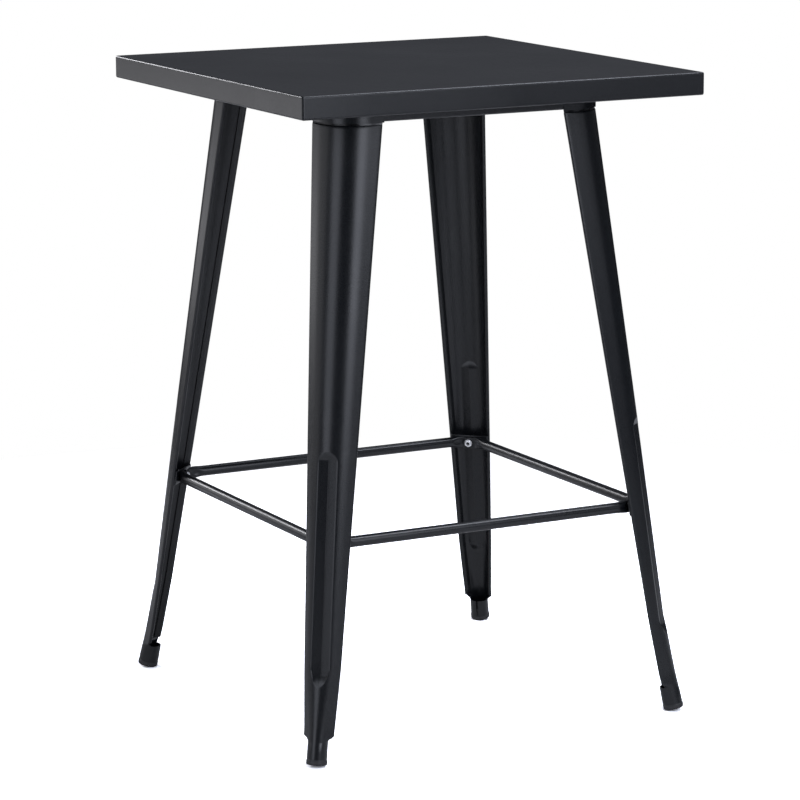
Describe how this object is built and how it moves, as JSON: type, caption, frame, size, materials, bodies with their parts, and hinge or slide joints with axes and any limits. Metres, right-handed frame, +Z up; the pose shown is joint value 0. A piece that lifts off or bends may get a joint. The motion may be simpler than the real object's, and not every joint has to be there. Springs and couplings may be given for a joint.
{
  "type": "metal frame dining table",
  "caption": "Tall square table in black powder-coated steel: folded tray top, splayed pressed sheet legs with rolled feet, and a low ring of tube braces.",
  "frame": {"origin": "on the floor, under the centre of the square top", "axes": "+Z up; X and Y along the sides of the top; -Y is the front side in the picture"},
  "size_m": [0.6, 0.6, 0.89],
  "materials": {
    "powder_coat": "satin black powder coat on steel sheet and tube",
    "zinc": "bright zinc-plated steel",
    "glide": "moulded black plastic"
  },
  "bodies": {
    "root": {"table_top": "powder_coat", "stiffener_left": "powder_coat", "stiffener_right": "powder_coat", "rail_front": "powder_coat", "rail_right": "powder_coat", "rail_back": "powder_coat", "rail_left": "powder_coat", "socket_front_left": "powder_coat", "socket_front_right": "powder_coat", "socket_back_right": "powder_coat", "socket_back_left": "powder_coat", "socket_plate_front_left": "powder_coat", "socket_plate_front_right": "powder_coat", "socket_plate_back_right": "powder_coat", "socket_plate_back_left": "powder_coat", "leg_front_left": "powder_coat", "leg_front_right": "powder_coat", "leg_back_right": "powder_coat", "leg_back_left": "powder_coat", "leg_plate_front_left": "powder_coat", "leg_plate_front_right": "powder_coat", "leg_plate_back_right": "powder_coat", "leg_plate_back_left": "powder_coat", "leg_bolts": "zinc", "leg_nuts": "zinc", "brace_front": "powder_coat", "brace_right": "powder_coat", "brace_back": "powder_coat", "brace_left": "powder_coat", "bracket_front_left": "powder_coat", "bracket_front_right": "powder_coat", "bracket_back_right": "powder_coat", "bracket_back_left": "powder_coat", "brace_screws": "zinc", "brace_nuts": "zinc", "glide_front_left": "glide", "glide_front_right": "glide", "glide_back_right": "glide", "glide_back_left": "glide"}
  },
  "joints": []
}
